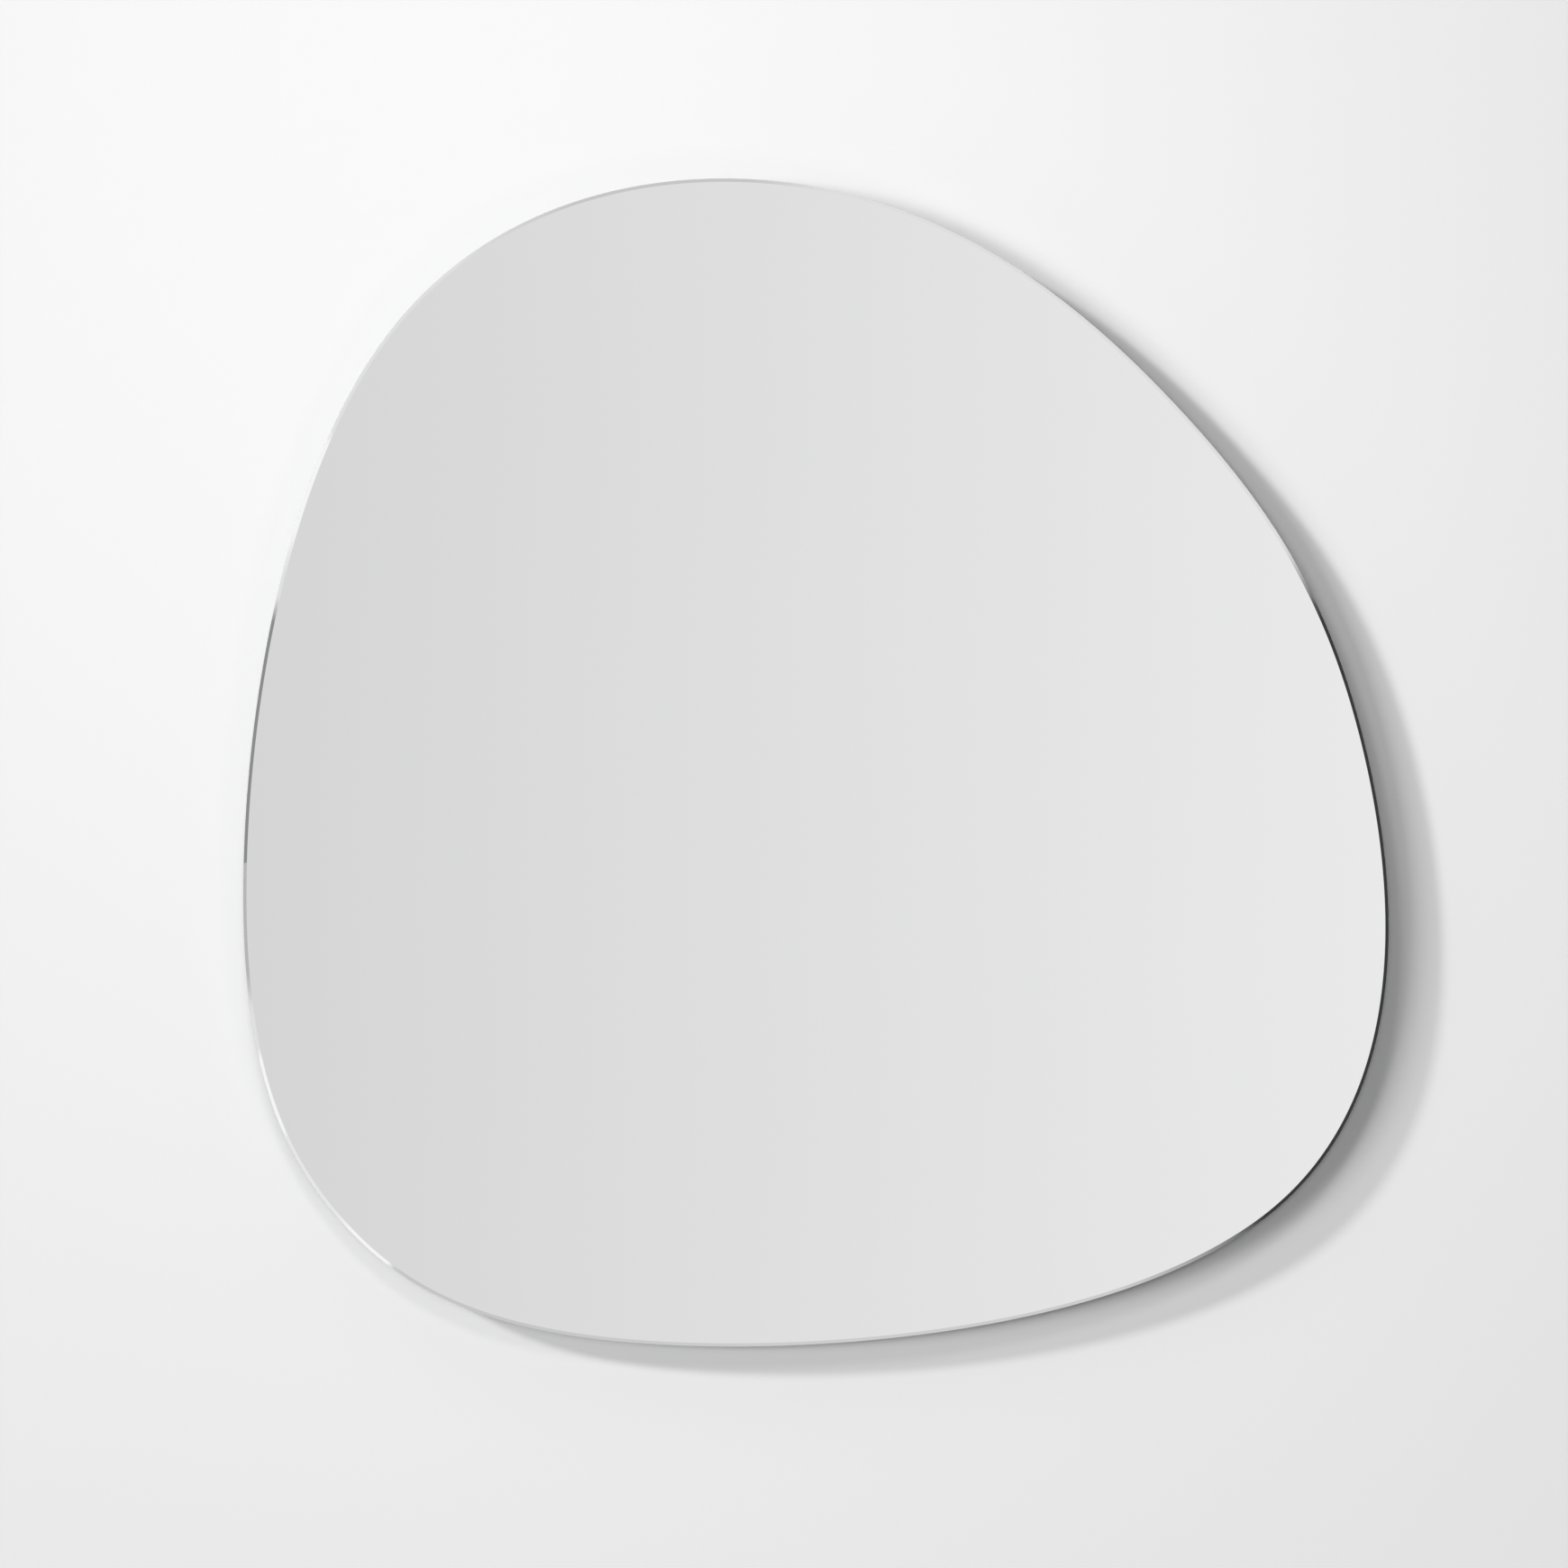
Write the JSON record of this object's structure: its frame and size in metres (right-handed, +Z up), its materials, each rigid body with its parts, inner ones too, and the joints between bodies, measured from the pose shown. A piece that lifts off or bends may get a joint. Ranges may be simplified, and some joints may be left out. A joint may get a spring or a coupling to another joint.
{
  "type": "wall mirror",
  "caption": "Frameless pebble-shaped wall mirror with a bevelled rim, floating off the wall on a lift-off hanging rail with screw-adjusted rubber spacers.",
  "frame": {"origin": "on the wall plane, midway between the wall rail's two screw holes", "axes": "+Z up; +Y into the wall, so the mirror faces -Y; +X to the right as seen from the room"},
  "size_m": [0.8004, 0.0274, 0.8163],
  "materials": {
    "mirror_glass": "polished silvered glass",
    "silver_paint": "silver under grey backing paint",
    "safety_film": "matt grey polyethylene film with scrim",
    "foam_tape": "closed-cell foam tape",
    "adhesive": "cured mirror adhesive",
    "fibreboard": "black dyed fibreboard, sanded",
    "rail_aluminium": "mill-finish extrusion",
    "zinc_steel": "bright zinc plated",
    "insert_brass": "turned brass",
    "knob_plastic": "moulded, fine texture",
    "pad_rubber": "matt"
  },
  "bodies": {
    "wall_rail": {"wall_rail": "rail_aluminium"},
    "mirror": {"mirror_glass": "mirror_glass", "silver_coat": "silver_paint", "safety_film": "safety_film", "mounting_tapes": "foam_tape", "adhesive_beads": "adhesive", "backing_board": "fibreboard", "hook_rail": "rail_aluminium", "hook_rail_screws": "zinc_steel", "insert_left": "insert_brass", "insert_right": "insert_brass"},
    "pad_left": {"pad_left": "pad_rubber"},
    "adjuster_left": {"stud_left": "zinc_steel", "knob_left": "knob_plastic"},
    "pad_right": {"pad_right": "pad_rubber"},
    "adjuster_right": {"stud_right": "zinc_steel", "knob_right": "knob_plastic"}
  },
  "joints": [
    {"name": "lift_off", "type": "slide", "parent": "wall_rail", "child": "mirror", "axis": [0, 0, 1], "range_m": [0, 0.016]},
    {"name": "spacer_left_travel", "type": "slide", "parent": "mirror", "child": "pad_left", "axis": [0, 1, 0], "range_m": [-0.002, 0.004]},
    {"name": "spacer_left_turn", "type": "hinge", "parent": "pad_left", "child": "adjuster_left", "pos_m": [-0.2, -0.004, -0.39], "axis": [0, 1, 0], "range_deg": [-720, 1440]},
    {"name": "spacer_right_travel", "type": "slide", "parent": "mirror", "child": "pad_right", "axis": [0, 1, 0], "range_m": [-0.002, 0.004]},
    {"name": "spacer_right_turn", "type": "hinge", "parent": "pad_right", "child": "adjuster_right", "pos_m": [0.2, -0.004, -0.39], "axis": [0, 1, 0], "range_deg": [-720, 1440]}
  ],
  "couplings": [
    {"joint": "spacer_left_travel", "follows": "spacer_left_turn", "m_per_rad": 0.00015915},
    {"joint": "spacer_right_travel", "follows": "spacer_right_turn", "m_per_rad": 0.00015915}
  ]
}
